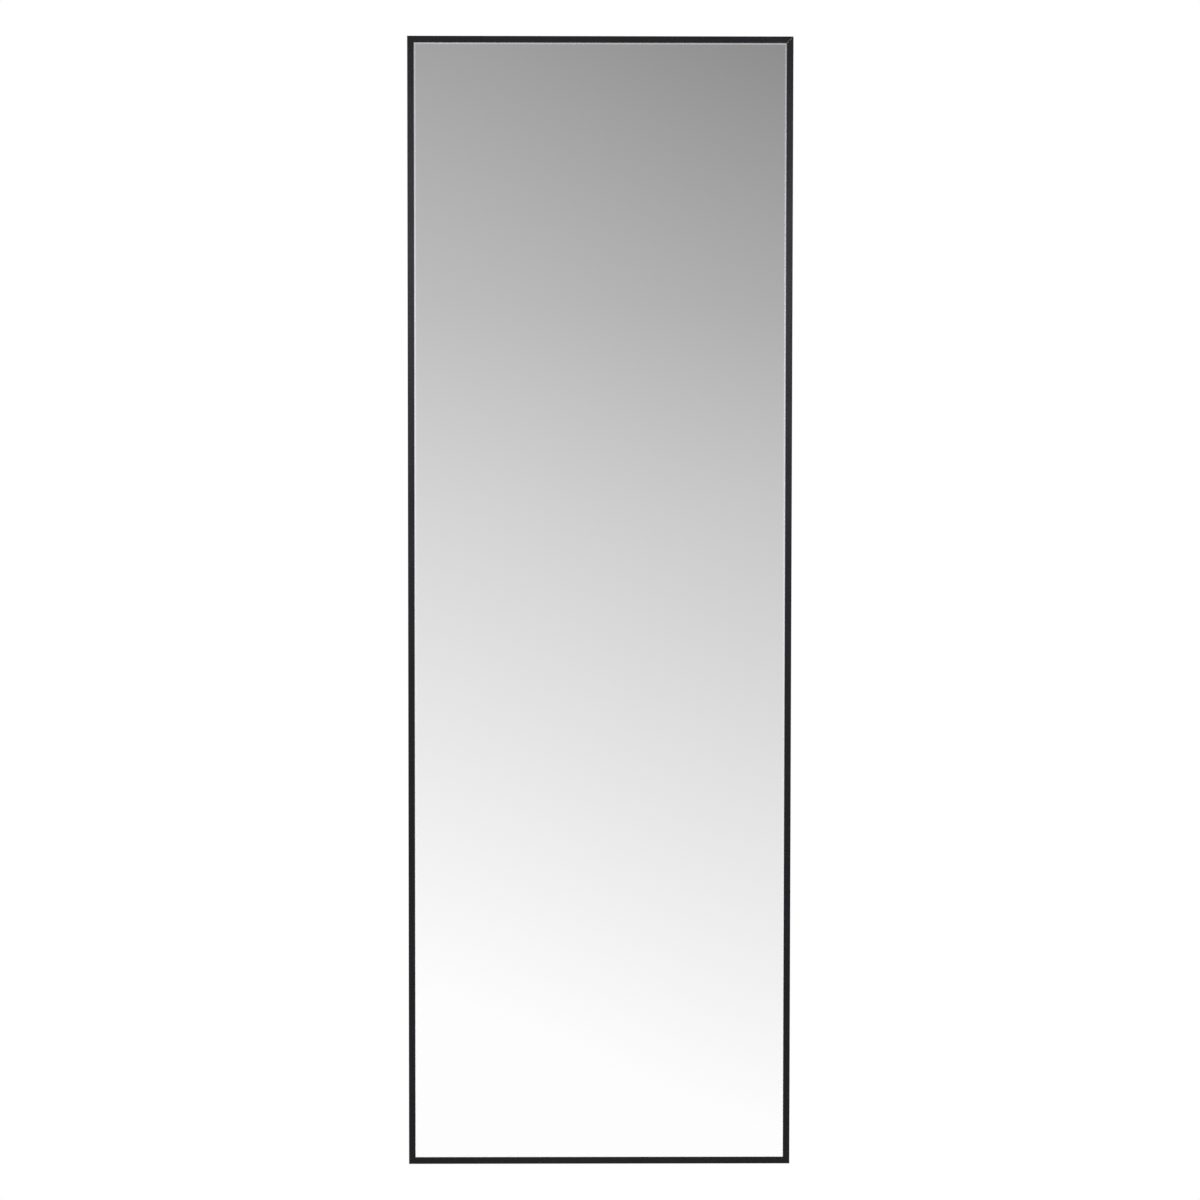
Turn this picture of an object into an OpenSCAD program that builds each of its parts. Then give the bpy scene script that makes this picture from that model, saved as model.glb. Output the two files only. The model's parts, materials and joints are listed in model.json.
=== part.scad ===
// Full-length wall mirror in a slim mitred frame of aluminium section.
// The origin lies on the wall, midway between the pivots of the two hanging rings.
// X runs to the right as seen from the front, Y towards the wall and Z up.

/* [Overall size] */
// Height of the frame
mirror_h = 1650; // [900:10:2000]
// Width of the frame
mirror_w = 560; // [400:10:900]

/* [Frame section] */
// Width of the front face
face_w = 9.6; // [6:0.1:14]
// Depth of the frame, from its front face to its rear lips
frame_depth = 22; // [21:0.5:36]
// Thickness of the front lip, which holds the glass
lip_t = 2; // [1:0.1:3]
// Thickness of the outer wall and of the channel's inner wall
wall_t = 1.5; // [1:0.1:2.5]
// Thickness of the web between the rebate and the rear channel
web_t = 1.4; // [1:0.1:2.5]
// Thickness of the rear lips
return_t = 1.5; // [1:0.1:2.5]
// Width of the section behind the glass
section_w = 19; // [18.2:0.1:26]
// Width of the slot between the rear lips
slot_w = 7; // [5:0.1:8]
// Bevel along the long edges of the section
edge_break = 0.4; // [0.1:0.1:0.8]
// Hairline that stays open at each mitre
mitre_gap = 0.1; // [0.02:0.01:0.3]

/* [Glass and backing] */
// Thickness of the mirror glass
glass_t = 4; // [3:0.5:6]
// Ground arris along the edges of the glass
glass_arris = 0.6; // [0.2:0.1:1]
// Room between the edge of the glass and the outer wall
glass_play = 1; // [0.5:0.1:2]
// Thickness of the safety film on the back of the glass
film_t = 0.25; // [0.1:0.05:0.5]
// Distance from the edge of the glass to the edge of the film
film_inset = 1; // [0:0.5:4]
// Thickness of the backing board
board_t = 3; // [2:0.5:4]
// Room between the edge of the board and the outer wall
board_play = 1.5; // [0.5:0.1:2.5]
// Bevel along the edges of the board
board_arris = 0.3; // [0.1:0.1:0.8]
// Length of each setting block under the glass
block_l = 40; // [20:5:80]
// Distance from the side of the frame to the middle of a setting block
block_inset = 120; // [60:5:190]

/* [Retaining springs] */
// Space for the springs, between the board and the web
spring_gap = 3.35; // [2:0.05:4]
// Thickness of the spring strip
spring_t = 0.5; // [0.3:0.1:0.8]
// Width of a spring
spring_w = 18; // [12:1:24]
// Length of a spring
spring_l = 56; // [40:2:80]
// Distance from the outer wall to the edge of a spring
spring_side = 2.5; // [2:0.5:6]
// Play left at the tips and the crown of a spring
spring_play = 0.03; // [0.01:0.01:0.1]
// Springs along each stile
stile_spring_count = 5; // [2:1:7]
// Springs along the top rail and along the bottom rail
rail_spring_count = 2; // [2:1:3]
// Distance from a corner of the frame to the middle of the nearest spring
spring_inset = 130; // [90:5:160]

/* [Corner hardware] */
// Length of each leg of a corner key
key_leg = 50; // [45:1:58]
// Thickness of a corner key
key_t = 3; // [2:0.5:3.5]
// Room beside a key, shim or slide nut in the channel
key_play = 0.2; // [0.1:0.05:0.5]
// Thickness of a corner shim
shim_t = 1; // [0.5:0.1:1.5]
// Bevel at the ends of the keys and shims
key_bevel = 1.5; // [0.5:0.1:3]
// Radius of the set screws and the hanger screws
screw_r = 2; // [1.5:0.1:2.2]
// Room round a screw in its threaded hole
thread_play = 0.05; // [0.02:0.01:0.1]
// Bevel at the tip of a screw
screw_tip = 0.4; // [0.2:0.1:0.8]
// Distance from the corner to the first set screw of a leg
key_screw_near = 28; // [26:1:32]
// Distance from the corner to the second set screw of a leg
key_screw_far = 42; // [38:1:43]
// Depth of the set screws' heads below the rear lips
set_screw_sink = 1; // [0.5:0.1:1.4]
// Width of the slot across a set screw
set_slot_w = 0.8; // [0.5:0.1:1]
// Depth of the slot across a set screw
set_slot_d = 1; // [0.5:0.1:1.5]

/* [Hangers] */
// Distance from the top of the frame down to the ring pivots
hanger_drop = 250; // [120:5:400]
// Length of the slide nut in the channel
nut_l = 22; // [14:1:30]
// Thickness of the slide nut
nut_t = 3; // [2:0.5:4]
// Width of the folded strap
strap_w = 10; // [9:0.5:10.5]
// Thickness of the strap's strip
strap_t = 1.2; // [0.8:0.1:1.4]
// Gap between the strap's two leaves
leaf_gap = 0.1; // [0.05:0.05:0.3]
// Distance from the pivot to the rounded end of the strap
strap_reach = 13; // [12.5:0.5:14]
// Distance from the pivot to the hanger screw
strap_screw_at = 8; // [7.5:0.1:8.5]
// Room round the screw in the strap
strap_hole_play = 0.25; // [0.1:0.05:0.4]
// Radius of the hanger screw's head
head_r = 4; // [3:0.1:4.3]
// Height of the hanger screw's head
head_h = 2.2; // [1.5:0.1:2.4]
// Radius of the dome on the hanger screw's head
head_dome_r = 7; // [6:0.5:12]
// Length of the hanger screw's shank
hanger_screw_l = 8; // [6.5:0.5:9]
// Length of the cross recess in the head
recess_l = 4.4; // [3:0.1:5]
// Width of the cross recess in the head
recess_w = 0.9; // [0.6:0.1:1.2]
// Depth of the cross recess in the head
recess_d = 1.3; // [0.8:0.1:1.5]
// Diameter of the ring's wire
wire_d = 3; // [2:0.1:3.2]
// Running clearance between the ring and its knuckle
pivot_play = 0.1; // [0.05:0.01:0.1]
// Clear width inside the ring
ring_inner_w = 12; // [11.6:0.1:12.8]
// Distance from the pivot to the inside of the ring's bow
ring_inner_l = 20; // [19:0.5:26]
// Radius of the ring's upper bends, at the middle of the wire
ring_bend_r = 2.2; // [1.8:0.1:2.3]

/* [Wall bumpers] */
// Height of a bumper, which is the gap between frame and wall
bumper_h = 6.5; // [6:0.1:12]
// Radius of a bumper's foot
bumper_r = 8; // [6:0.5:9]
// Radius of the face that meets the wall
bumper_face_r = 6.4; // [4:0.1:7]
// Height of the straight foot of a bumper
bumper_foot_h = 1.5; // [0.5:0.1:3]
// Radius at the top of a bumper's flank
bumper_neck_r = 7.2; // [5:0.1:7.5]
// Height of the bevel round the bumper's face
bumper_bevel_h = 0.8; // [0.3:0.1:1.5]
// Distance from the end of a stile to the middle of a bumper
bumper_inset = 75; // [65:1:100]

/* [Hidden] */
$fn = 96;
// Colours
black_coat = [0.1, 0.1, 0.11];
silver = [0.8, 0.82, 0.84];
film_grey = [0.62, 0.66, 0.7];
hardboard = [0.42, 0.27, 0.16];
clear_plastic = [0.85, 0.86, 0.84];
zinc = [0.66, 0.68, 0.71];
spring_blue = [0.35, 0.37, 0.42];
nickel = [0.75, 0.74, 0.71];
soft_black = [0.06, 0.06, 0.06];
// Sides of the frame and ends of its height
LEFT = -1;
RIGHT = 1;
BOTTOM = -1;
TOP = 1;
// Places of the frame in the shared frame of the part
wall_gap = bumper_h;
front_y = -(frame_depth + wall_gap);
top_z = hanger_drop;
bottom_z = hanger_drop - mirror_h;
mid_z = (top_z + bottom_z) / 2;
// Depths of the layers, counted from the front face
glass_v = lip_t;
film_v = glass_v + glass_t;
board_v = film_v + film_t;
spring_v = board_v + board_t;
web_v = spring_v + spring_gap;
channel_v = web_v + web_t;
return_v = frame_depth - return_t;
// Channel across the section, counted from the outer wall's face
slot_u = section_w / 2;
slot_near = slot_u - slot_w / 2;
slot_far = slot_u + slot_w / 2;
channel_w = section_w - 2 * wall_t;
slider_w = channel_w - 2 * key_play;
// How far a cutting shape runs past the piece that it cuts
cut_over = 1;
mitre_setback = mitre_gap * sqrt(2) / 2;
// Glass, film and board
glass_w = mirror_w - 2 * (wall_t + glass_play);
glass_h = mirror_h - 2 * (wall_t + glass_play);
film_w = glass_w - 2 * film_inset;
film_h = glass_h - 2 * film_inset;
board_w = mirror_w - 2 * (wall_t + board_play);
board_h = mirror_h - 2 * (wall_t + board_play);
// Arc of a spring, from its rise inside the strip
spring_rise = spring_gap - spring_t - 2 * spring_play;
spring_in_r = (pow(spring_l / 2, 2) + pow(spring_rise, 2)) / (2 * spring_rise);
spring_out_r = spring_in_r + spring_t;
spring_crown = spring_gap - spring_play;
spring_u = wall_t + spring_side;
// Corner key outline and its screws
key_near = wall_t + key_play;
key_far = section_w - key_near;
key_end = key_near + key_leg;
set_screw_v = channel_v + shim_t;
set_screw_l = frame_depth - set_screw_sink - set_screw_v;
// Hanger
wire_r = wire_d / 2;
knuckle_in_r = wire_r + pivot_play;
pivot_v = frame_depth + strap_t + knuckle_in_r;
upper_leaf_v = frame_depth + strap_t + leaf_gap;
head_v = upper_leaf_v + strap_t;
knuckle_overlap = 15;
knuckle_turn = 270 + knuckle_overlap;
ring_half_w = ring_inner_w / 2 + wire_r;
ring_bar_half = ring_half_w - ring_bend_r;
ring_bow_z = ring_inner_l - ring_inner_w / 2;

// Places for the pieces

// On each length of frame, X runs in from its outer face, Y back and Z along it
module on_left_stile() {
    translate([-mirror_w / 2, front_y, mid_z]) children();
}

module on_right_stile() {
    mirror([1, 0, 0]) on_left_stile() children();
}

module on_top_rail() {
    translate([0, front_y, top_z]) rotate([0, 90, 0]) children();
}

module on_bottom_rail() {
    translate([0, front_y, bottom_z]) rotate([0, -90, 0]) children();
}

// At a corner, X and Z run inwards from the outer corner and Y back
module at_corner(end, side) {
    corner_z = end == TOP ? top_z : bottom_z;
    translate([side * mirror_w / 2, front_y, corner_z])
        mirror([side == RIGHT ? 1 : 0, 0, 0])
            mirror([0, 0, end == TOP ? 1 : 0])
                children();
}

// At a hanger, the middle of the slot at the height of the pivots
module at_hanger(side) {
    translate([side * (mirror_w / 2 - slot_u), front_y, 0]) children();
}

module at_bumper(end, side) {
    bumper_z = end == TOP ? top_z - bumper_inset : bottom_z + bumper_inset;
    translate([side * (mirror_w / 2 - slot_u), front_y + frame_depth, bumper_z]) children();
}

// Shared shapes

// A flat plate of a drawn outline, from depth v backwards
module plate(v, t) {
    translate([0, v + t, 0]) rotate([90, 0, 0]) linear_extrude(t) children();
}

// A round bar that runs straight back from depth v
module rod(v, l, r1, r2) {
    translate([0, v, 0]) rotate([-90, 0, 0]) cylinder(h = l, r1 = r1, r2 = r2);
}

// A pane with bevelled edges, centred on its width and height
module pane_outline(w, t, bevel) {
    polygon([
        [-w / 2 + bevel, 0], [w / 2 - bevel, 0], [w / 2, bevel], [w / 2, t - bevel],
        [w / 2 - bevel, t], [-w / 2 + bevel, t], [-w / 2, t - bevel], [-w / 2, bevel]
    ]);
}

module pane(v, w, h, t, bevel) {
    translate([0, front_y + v, mid_z])
        intersection() {
            translate([0, 0, -h / 2]) linear_extrude(h) pane_outline(w, t, bevel);
            rotate([0, 90, 0])
                translate([0, 0, -w / 2]) linear_extrude(w) pane_outline(h, t, bevel);
        }
}

// Frame

module section() {
    polygon([
        [0, edge_break], [edge_break, 0],
        [face_w - edge_break, 0], [face_w, edge_break],
        [face_w, lip_t], [wall_t, lip_t],
        [wall_t, web_v], [section_w, web_v],
        [section_w, frame_depth - edge_break], [section_w - edge_break, frame_depth],
        [slot_far, frame_depth], [slot_far, return_v],
        [section_w - wall_t, return_v], [section_w - wall_t, channel_v],
        [wall_t, channel_v], [wall_t, return_v],
        [slot_near, return_v], [slot_near, frame_depth],
        [edge_break, frame_depth], [0, frame_depth - edge_break]
    ]);
}

module mitre_outline(l) {
    half = l / 2 - mitre_setback;
    outer = half + cut_over;
    inner = half - section_w - cut_over;
    polygon([
        [-cut_over, -outer], [-cut_over, outer],
        [section_w + cut_over, inner], [section_w + cut_over, -inner]
    ]);
}

module mitred_length(l) {
    color(black_coat)
        intersection() {
            translate([0, 0, -l / 2]) linear_extrude(l) section();
            plate(-cut_over, frame_depth + 2 * cut_over) mitre_outline(l);
        }
}

module top_rail() {
    on_top_rail() mitred_length(mirror_w);
}

module bottom_rail() {
    on_bottom_rail() mitred_length(mirror_w);
}

module left_stile() {
    on_left_stile() mitred_length(mirror_h);
}

module right_stile() {
    on_right_stile() mitred_length(mirror_h);
}

// Glass and backing

module mirror_glass() {
    color(silver) pane(glass_v, glass_w, glass_h, glass_t, glass_arris);
}

module safety_film() {
    color(film_grey)
        translate([-film_w / 2, front_y + film_v, mid_z - film_h / 2])
            cube([film_w, film_t, film_h]);
}

module backing_board() {
    color(hardboard) pane(board_v, board_w, board_h, board_t, board_arris);
}

module setting_blocks() {
    color(clear_plastic)
        for (side = [LEFT, RIGHT])
            translate([side * (mirror_w / 2 - block_inset) - block_l / 2,
                       front_y + glass_v, bottom_z + wall_t])
                cube([block_l, glass_t, glass_play]);
}

// Springs

// A bowed strip, with its tips on the board and its crown under the web
module spring() {
    translate([spring_u, spring_v, 0])
        rotate([0, 90, 0])
            translate([0, spring_crown - spring_out_r, 0])
                intersection() {
                    difference() {
                        cylinder(h = spring_w, r = spring_out_r);
                        translate([0, 0, -cut_over])
                            cylinder(h = spring_w + 2 * cut_over, r = spring_in_r);
                    }
                    translate([-spring_l / 2, spring_in_r / 2, -cut_over])
                        cube([spring_l, spring_out_r, spring_w + 2 * cut_over]);
                }
}

module springs(l, count) {
    span = l - 2 * spring_inset;
    color(spring_blue)
        for (i = [0 : count - 1])
            translate([0, 0, -span / 2 + i * span / (count - 1)]) spring();
}

module left_springs() {
    on_left_stile() springs(mirror_h, stile_spring_count);
}

module right_springs() {
    on_right_stile() springs(mirror_h, stile_spring_count);
}

module top_springs() {
    on_top_rail() springs(mirror_w, rail_spring_count);
}

module bottom_springs() {
    on_bottom_rail() springs(mirror_w, rail_spring_count);
}

// Corner hardware

module key_outline() {
    polygon([
        [key_near + key_bevel, key_near], [key_end - key_bevel, key_near],
        [key_end, key_near + key_bevel], [key_end, key_far - key_bevel],
        [key_end - key_bevel, key_far], [key_far, key_far],
        [key_far, key_end - key_bevel], [key_far - key_bevel, key_end],
        [key_near + key_bevel, key_end], [key_near, key_end - key_bevel],
        [key_near, key_near + key_bevel]
    ]);
}

module at_key_screws() {
    for (along = [key_screw_near, key_screw_far]) {
        translate([along, 0, slot_u]) children();
        translate([slot_u, 0, along]) children();
    }
}

module corner_key(end, side) {
    hole_r = screw_r + thread_play;
    key_v = return_v - key_t;
    color(zinc)
        at_corner(end, side)
            difference() {
                plate(key_v, key_t) key_outline();
                at_key_screws() rod(key_v - cut_over, key_t + 2 * cut_over, hole_r, hole_r);
            }
}

module corner_shim(end, side) {
    color(zinc) at_corner(end, side) plate(channel_v, shim_t) key_outline();
}

module set_screw() {
    difference() {
        union() {
            rod(set_screw_v, screw_tip, screw_r - screw_tip, screw_r);
            rod(set_screw_v + screw_tip, set_screw_l - screw_tip, screw_r, screw_r);
        }
        translate([-screw_r - cut_over, set_screw_v + set_screw_l - set_slot_d, -set_slot_w / 2])
            cube([2 * (screw_r + cut_over), set_slot_d + cut_over, set_slot_w]);
    }
}

module set_screws(end, side) {
    color(zinc) at_corner(end, side) at_key_screws() set_screw();
}

// Hangers

module slide_nut(side) {
    nut_v = return_v - nut_t;
    hole_r = screw_r + thread_play;
    color(zinc)
        at_hanger(side)
            difference() {
                translate([-slider_w / 2, nut_v, -strap_screw_at - nut_l / 2])
                    cube([slider_w, nut_t, nut_l]);
                translate([0, 0, -strap_screw_at])
                    rod(nut_v - cut_over, nut_t + 2 * cut_over, hole_r, hole_r);
            }
}

// Outline of a leaf that starts below the pivot by top
module leaf_outline(top) {
    end_r = strap_w / 2;
    difference() {
        union() {
            translate([-end_r, end_r - strap_reach])
                square([strap_w, strap_reach - end_r - top]);
            translate([0, end_r - strap_reach]) circle(end_r);
        }
        translate([0, -strap_screw_at]) circle(screw_r + strap_hole_play);
    }
}

module hanger_strap(side) {
    color(nickel)
        at_hanger(side)
            union() {
                plate(frame_depth, strap_t) leaf_outline(0);
                plate(upper_leaf_v, strap_t) leaf_outline(knuckle_in_r + strap_t / 2);
                translate([0, pivot_v, 0])
                    rotate([0, 90, 0])
                        rotate([0, 0, -knuckle_overlap])
                            rotate_extrude(angle = knuckle_turn)
                                translate([knuckle_in_r, -strap_w / 2])
                                    square([strap_t, strap_w]);
            }
}

module hanger_screw(side) {
    color(zinc)
        at_hanger(side)
            translate([0, 0, -strap_screw_at])
                difference() {
                    union() {
                        intersection() {
                            rod(head_v, head_h, head_r, head_r);
                            translate([0, head_v + head_h - head_dome_r, 0]) sphere(head_dome_r);
                        }
                        rod(head_v - hanger_screw_l + screw_tip, hanger_screw_l - screw_tip,
                            screw_r, screw_r);
                        rod(head_v - hanger_screw_l, screw_tip, screw_r - screw_tip, screw_r);
                    }
                    for (turn = [0, 90])
                        rotate([0, turn, 0])
                            translate([-recess_l / 2, head_v + head_h - recess_d, -recess_w / 2])
                                cube([recess_l, recess_d + cut_over, recess_w]);
                }
}

// One side of the ring: its upper bend and its leg
module ring_side() {
    translate([ring_bar_half, 0, -ring_bend_r])
        rotate([90, 0, 0])
            rotate_extrude(angle = 90)
                translate([ring_bend_r, 0]) circle(wire_r);
    translate([ring_half_w, 0, -ring_bow_z])
        cylinder(h = ring_bow_z - ring_bend_r, r = wire_r);
}

module hanging_ring(side) {
    color(nickel)
        at_hanger(side)
            translate([0, pivot_v, 0])
                union() {
                    rotate([0, 90, 0]) cylinder(h = 2 * ring_bar_half, r = wire_r, center = true);
                    ring_side();
                    mirror([1, 0, 0]) ring_side();
                    translate([0, 0, -ring_bow_z])
                        rotate([90, 0, 0])
                            rotate([0, 0, 180])
                                rotate_extrude(angle = 180)
                                    translate([ring_half_w, 0]) circle(wire_r);
                }
}

// Bumpers

module bumper(end, side) {
    color(soft_black)
        at_bumper(end, side)
            rotate([-90, 0, 0])
                rotate_extrude()
                    polygon([
                        [0, 0], [bumper_r, 0], [bumper_r, bumper_foot_h],
                        [bumper_neck_r, bumper_h - bumper_bevel_h],
                        [bumper_face_r, bumper_h], [0, bumper_h]
                    ]);
}

top_rail();
bottom_rail();
left_stile();
right_stile();
mirror_glass();
safety_film();
backing_board();
setting_blocks();
left_springs();
right_springs();
top_springs();
bottom_springs();
corner_key(TOP, LEFT);  // top_left_key
corner_key(TOP, RIGHT);  // top_right_key
corner_key(BOTTOM, LEFT);  // bottom_left_key
corner_key(BOTTOM, RIGHT);  // bottom_right_key
corner_shim(TOP, LEFT);  // top_left_shim
corner_shim(TOP, RIGHT);  // top_right_shim
corner_shim(BOTTOM, LEFT);  // bottom_left_shim
corner_shim(BOTTOM, RIGHT);  // bottom_right_shim
set_screws(TOP, LEFT);  // top_left_set_screws
set_screws(TOP, RIGHT);  // top_right_set_screws
set_screws(BOTTOM, LEFT);  // bottom_left_set_screws
set_screws(BOTTOM, RIGHT);  // bottom_right_set_screws
slide_nut(LEFT);  // left_slide_nut
slide_nut(RIGHT);  // right_slide_nut
hanger_strap(LEFT);  // left_hanger_strap
hanger_strap(RIGHT);  // right_hanger_strap
hanger_screw(LEFT);  // left_hanger_screw
hanger_screw(RIGHT);  // right_hanger_screw
hanging_ring(LEFT);  // left_hanging_ring
hanging_ring(RIGHT);  // right_hanging_ring
bumper(TOP, LEFT);  // top_left_bumper
bumper(TOP, RIGHT);  // top_right_bumper
bumper(BOTTOM, LEFT);  // bottom_left_bumper
bumper(BOTTOM, RIGHT);  // bottom_right_bumper
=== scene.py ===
# Full-length wall mirror in a slim black aluminium frame: its finished pieces, its finishes and a
# studio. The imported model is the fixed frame. X runs right as seen from the front, Y towards the
# wall and Z up.

import json
import math

import bpy
from bpy.props import FloatProperty, FloatVectorProperty, PointerProperty
from bpy.types import NodeSocket, Operator, Panel, PropertyGroup
from mathutils import Matrix, Vector


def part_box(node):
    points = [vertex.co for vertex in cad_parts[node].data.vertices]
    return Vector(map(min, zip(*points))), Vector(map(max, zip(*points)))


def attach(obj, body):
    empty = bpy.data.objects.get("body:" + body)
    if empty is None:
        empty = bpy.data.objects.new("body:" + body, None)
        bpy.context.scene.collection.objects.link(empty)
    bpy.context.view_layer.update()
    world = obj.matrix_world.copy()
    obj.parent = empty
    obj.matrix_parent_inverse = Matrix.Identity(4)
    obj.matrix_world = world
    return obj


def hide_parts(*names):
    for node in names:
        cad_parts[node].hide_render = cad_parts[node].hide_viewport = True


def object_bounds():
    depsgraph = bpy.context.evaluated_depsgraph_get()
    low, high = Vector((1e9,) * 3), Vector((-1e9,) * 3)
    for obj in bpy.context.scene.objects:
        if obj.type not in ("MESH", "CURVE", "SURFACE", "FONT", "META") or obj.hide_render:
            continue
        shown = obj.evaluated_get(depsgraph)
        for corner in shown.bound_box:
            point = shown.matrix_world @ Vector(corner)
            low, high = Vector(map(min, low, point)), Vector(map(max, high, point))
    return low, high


bl_info = {
    "name": "Full-Length Wall Mirror",
    "version": (1, 0, 0),
    "blender": (4, 5, 0),
    "location": "3D View > Sidebar > Wall Mirror",
    "description": "Finished pieces, finishes and studio for a wall mirror in a slim frame",
    "category": "Object",
}

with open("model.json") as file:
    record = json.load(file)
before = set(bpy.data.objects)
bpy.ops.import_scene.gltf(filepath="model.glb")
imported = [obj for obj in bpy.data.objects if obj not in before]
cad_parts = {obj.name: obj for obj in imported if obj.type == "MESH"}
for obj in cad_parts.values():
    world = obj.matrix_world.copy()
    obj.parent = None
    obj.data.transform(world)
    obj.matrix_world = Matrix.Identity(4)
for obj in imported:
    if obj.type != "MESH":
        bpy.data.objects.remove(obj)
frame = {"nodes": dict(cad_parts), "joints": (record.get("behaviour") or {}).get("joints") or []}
CAD_LOW, CAD_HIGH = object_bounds()

MM = 0.001
# Points closer than this are one point, and faces closer to flat than this angle are one face
MERGE = 0.002 * MM
FLAT = math.radians(0.3)
# Faces that meet at less than this angle are shaded as one surface
SMOOTH = math.radians(35)
# A face points one way when this much of its normal does
FACING = 0.99

ALONG_X = (1.0, 0.0, 0.0)
ALONG_Y = (0.0, 1.0, 0.0)
# Steps round a quarter bend, along a bowed spring, and round the loop of a strap or a ring
BEND_STEPS = 10
SPRING_STEPS = 24
LOOP_STEPS = 36
# Lays down a piece that was modelled upright, its top towards the wall
TO_WALL = Matrix.Rotation(-math.pi / 2, 4, "X")

# Each length of the frame and the axis that it runs along
LENGTHS = {"top_rail": "X", "bottom_rail": "X", "left_stile": "Z", "right_stile": "Z"}
SIDES = ("left", "right")
CORNERS = ("top_left", "top_right", "bottom_left", "bottom_right")

# Half the width and height of the frame, and its middle as seen from the front
HALF_W = (CAD_HIGH.x - CAD_LOW.x) / 2
HALF_H = (CAD_HIGH.z - CAD_LOW.z) / 2
MID_X = (CAD_HIGH.x + CAD_LOW.x) / 2
MID_Z = (CAD_HIGH.z + CAD_LOW.z) / 2
FRONT_Y = CAD_LOW.y


# Settings


def size_setting(name, description, millimetres, least=0.0):
    """A length that a user can change, its default and its least value in millimetres."""
    return FloatProperty(name=name, description=description, default=millimetres * MM,
                         min=least * MM, unit="LENGTH", precision=5)


def colour_setting(name, description, colour):
    """A colour that a user can change."""
    return FloatVectorProperty(name=name, description=description, default=colour,
                               subtype="COLOR", min=0.0, max=1.0)


def studio_setting(name, description, default, **options):
    """A number that a user can change to set up the camera or the light."""
    return FloatProperty(name=name, description=description, default=default, **options)


class WallMirrorSizes(PropertyGroup):
    """Sizes of the finished pieces."""

    edge_round: size_setting("Frame edges", "Rounding of the edges of the frame lengths", 0.12)
    mitre_bright: size_setting(
        "Bare mitre", "How far the bare metal reaches from the mitre at the top right", 0.24)
    mitre_faint: size_setting(
        "Faint mitres", "How far the bare metal reaches from the other mitres", 0.14)
    face_width: size_setting(
        "Frame face", "Width of the face of the frame lengths, up to the glass in sight", 9.6)
    glass_arris: size_setting("Glass arris", "Width of the ground arris round the pane", 0.6)
    # The pale line is a painted highlight, a lighter band on the glass along the lips
    haze_width: size_setting(
        "Pale line", "Width of the pale line on the glass along the lips of the frame", 2.2)
    sheet_edge: size_setting("Sheet edges", "Rounding of the edges of the board and the shims", 0.1)
    block_edge: size_setting("Block edges", "Rounding of the edges of the setting blocks", 0.15)
    spring_strip: size_setting("Spring strip", "Thickness of the spring strip", 0.5)
    spring_corner: size_setting(
        "Spring corners", "Radius of the corners at the tips of a spring", 4.0)
    spring_edge: size_setting("Spring edges", "Rounding of the edges of the springs", 0.08)
    casting_round: size_setting("Casting edges", "Rounding of the edges of the keys and nuts", 0.25)
    thread_pitch: size_setting("Thread pitch", "Pitch of the screw threads", 0.7, least=0.1)
    thread_depth: size_setting("Thread depth", "Depth of the screw threads", 0.36)
    slot_width: size_setting("Slot width", "Width of the slot of a set screw", 0.8)
    slot_depth: size_setting("Slot depth", "Depth of the slot of a set screw", 1.0)
    strap_strip: size_setting("Strap strip", "Thickness of the strip of the folded strap", 1.2)
    leaf_gap: size_setting("Leaf gap", "Gap between the two leaves of the strap", 0.1)
    strap_edge: size_setting("Strap edges", "Rounding of the edges of the straps", 0.12)
    strap_hole: size_setting("Strap hole", "Diameter of the hole for the screw in a strap", 4.5)
    head_height: size_setting("Screw head", "Height of the head of the hanger screw", 2.2)
    shank_width: size_setting("Screw shank", "Diameter of the thread of the hanger screw", 4.0)
    ring_wire: size_setting("Ring wire", "Diameter of the wire of the hanging rings", 3.0)
    ring_bend: size_setting(
        "Ring bends", "Radius of the upper bends of a ring, at the middle of the wire", 2.2)
    bumper_edge: size_setting("Bumper edges", "Rounding of the edges of the bumpers", 0.15)


class WallMirrorColours(PropertyGroup):
    """Colours of the finishes."""

    black: colour_setting(
        "Black aluminium", "Satin black coat of the frame", (0.0132, 0.0132, 0.0156))
    silver: colour_setting("Silvering", "Reflection of the silvered glass", (0.95, 0.95, 0.95))
    hardboard: colour_setting("Hardboard", "Backing board", (0.26, 0.135, 0.066))
    zinc: colour_setting("Zinc plate", "Keys, shims, nuts and screws", (0.56, 0.58, 0.61))
    nickel: colour_setting("Nickel plate", "Straps and hanging rings", (0.66, 0.62, 0.56))
    spring: colour_setting("Spring steel", "Retaining springs", (0.42, 0.43, 0.47))
    rubber: colour_setting("Rubber", "Wall bumpers", (0.018, 0.018, 0.019))


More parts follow.
